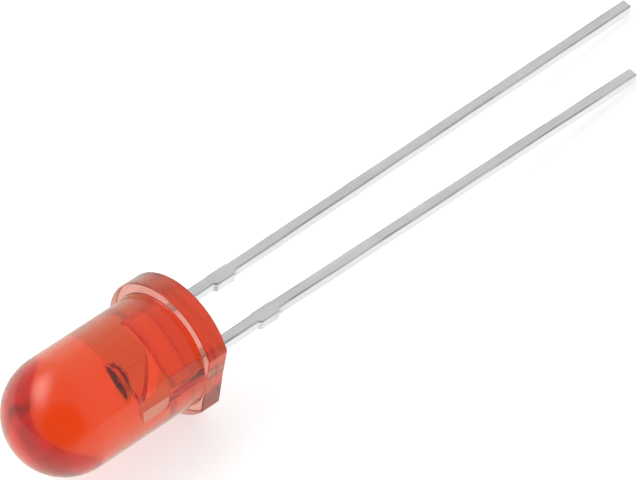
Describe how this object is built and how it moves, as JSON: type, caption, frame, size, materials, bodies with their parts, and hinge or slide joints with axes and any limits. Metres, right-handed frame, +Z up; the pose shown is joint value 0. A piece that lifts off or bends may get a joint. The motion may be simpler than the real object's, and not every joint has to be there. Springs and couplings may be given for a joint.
{
  "type": "through hole led",
  "caption": "Round clear red indicator lamp with a domed epoxy lens, a flange with a polarity flat and two long square leads, lying on its side.",
  "frame": {"origin": "the middle of the bounding box on the surface that the LED lies on, which the flange's rim and both lead tips touch", "axes": "+Z up from the surface, +X from the dome towards the lead tips, +Y from the cathode towards the anode"},
  "size_m": [0.036, 0.0056, 0.0061],
  "materials": {
    "red_epoxy": "clear red cast epoxy with a polished moulded surface",
    "tinned_lead": "bright tin plating on stamped mild steel, dull and darker on the cut sides",
    "silver_adhesive": "cured silver filled adhesive",
    "semiconductor": "sawn semiconductor, smooth and dark",
    "gold": "bright drawn gold"
  },
  "bodies": {
    "root": {"lens_body": "red_epoxy", "anode_lead": "tinned_lead", "cathode_lead": "tinned_lead", "die_attach": "silver_adhesive", "led_chip": "semiconductor", "bond_pad": "gold", "bond_wire": "gold"}
  },
  "joints": []
}
